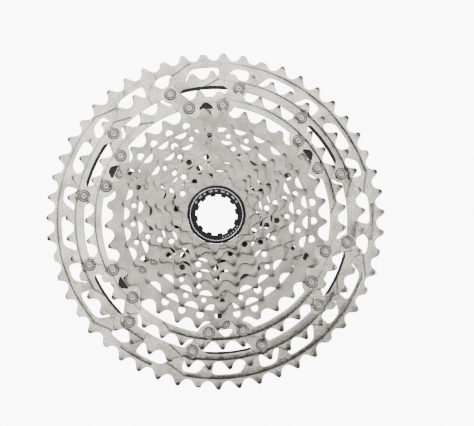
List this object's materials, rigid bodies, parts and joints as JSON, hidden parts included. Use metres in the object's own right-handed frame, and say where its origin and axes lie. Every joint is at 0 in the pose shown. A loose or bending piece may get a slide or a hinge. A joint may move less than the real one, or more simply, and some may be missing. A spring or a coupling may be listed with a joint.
{
  "type": "cassette sprocket",
  "caption": "Eleven-speed wide-range bicycle cassette with riveted carriers, loose small sprockets, spacers and a threaded lockring.",
  "frame": {"origin": "on the axis, at the back face of the largest sprocket", "axes": "+Z along the axis, towards the smallest sprocket and the lockring; +Y towards the top of the picture"},
  "size_m": [0.2089, 0.2083, 0.0427],
  "materials": {
    "nickel_steel": "satin nickel plate",
    "rivet_steel": "satin",
    "washer_steel": "bright",
    "black_aluminium": "satin black anodised",
    "black_steel": "satin black"
  },
  "bodies": {
    "large_cluster": {"sprocket_51t": "nickel_steel", "sprocket_45t": "nickel_steel", "sprocket_39t": "nickel_steel", "sprocket_33t": "nickel_steel", "sprocket_28t": "nickel_steel", "large_carrier": "black_aluminium", "spacer_ring_45_51": "black_aluminium", "outer_rivets": "rivet_steel", "pair_rivets": "rivet_steel", "pair_collars": "black_aluminium", "carrier_rivets_39t": "rivet_steel", "carrier_rivets_33t": "rivet_steel", "carrier_rivets_28t": "rivet_steel"},
    "carrier_spacer": {"spacer_carriers": "black_aluminium"},
    "small_cluster": {"sprocket_24t": "nickel_steel", "sprocket_21t": "nickel_steel", "sprocket_18t": "nickel_steel", "small_carrier": "black_aluminium", "small_carrier_rivets": "rivet_steel", "top_rivets_18t": "rivet_steel"},
    "spacer_15_18": {"spacer_15_18": "black_aluminium"},
    "sprocket_15": {"sprocket_15t": "nickel_steel"},
    "spacer_13_15": {"spacer_13_15": "black_aluminium"},
    "sprocket_13": {"sprocket_13t": "nickel_steel"},
    "sprocket_11": {"sprocket_11t": "nickel_steel"},
    "washer": {"lockring_washer": "washer_steel"},
    "lockring": {"lockring": "black_steel"}
  },
  "joints": [
    {"name": "carrier_spacer_off", "type": "slide", "parent": "large_cluster", "child": "carrier_spacer", "axis": [0, 0, 1], "range_m": [0, 0.024]},
    {"name": "small_cluster_off", "type": "slide", "parent": "carrier_spacer", "child": "small_cluster", "axis": [0, 0, 1], "range_m": [0, 0.022]},
    {"name": "spacer_15_18_off", "type": "slide", "parent": "small_cluster", "child": "spacer_15_18", "axis": [0, 0, 1], "range_m": [0, 0.0125]},
    {"name": "sprocket_15_off", "type": "slide", "parent": "spacer_15_18", "child": "sprocket_15", "axis": [0, 0, 1], "range_m": [0, 0.0105]},
    {"name": "spacer_13_15_off", "type": "slide", "parent": "sprocket_15", "child": "spacer_13_15", "axis": [0, 0, 1], "range_m": [0, 0.0085]},
    {"name": "sprocket_13_off", "type": "slide", "parent": "spacer_13_15", "child": "sprocket_13", "axis": [0, 0, 1], "range_m": [0, 0.0065]},
    {"name": "sprocket_11_off", "type": "slide", "parent": "sprocket_13", "child": "sprocket_11", "axis": [0, 0, 1], "range_m": [0, 0.003]},
    {"name": "washer_lift", "type": "slide", "parent": "sprocket_11", "child": "washer", "axis": [0, 0, 1], "range_m": [0, 0.00529]},
    {"name": "lockring_turn", "type": "hinge", "parent": "washer", "child": "lockring", "pos_m": [0, 0, 0.0412], "axis": [0, 0, 1], "range_deg": [0, 1800]}
  ],
  "couplings": [
    {"joint": "washer_lift", "follows": "lockring_turn", "m_per_rad": 0.00016844}
  ]
}
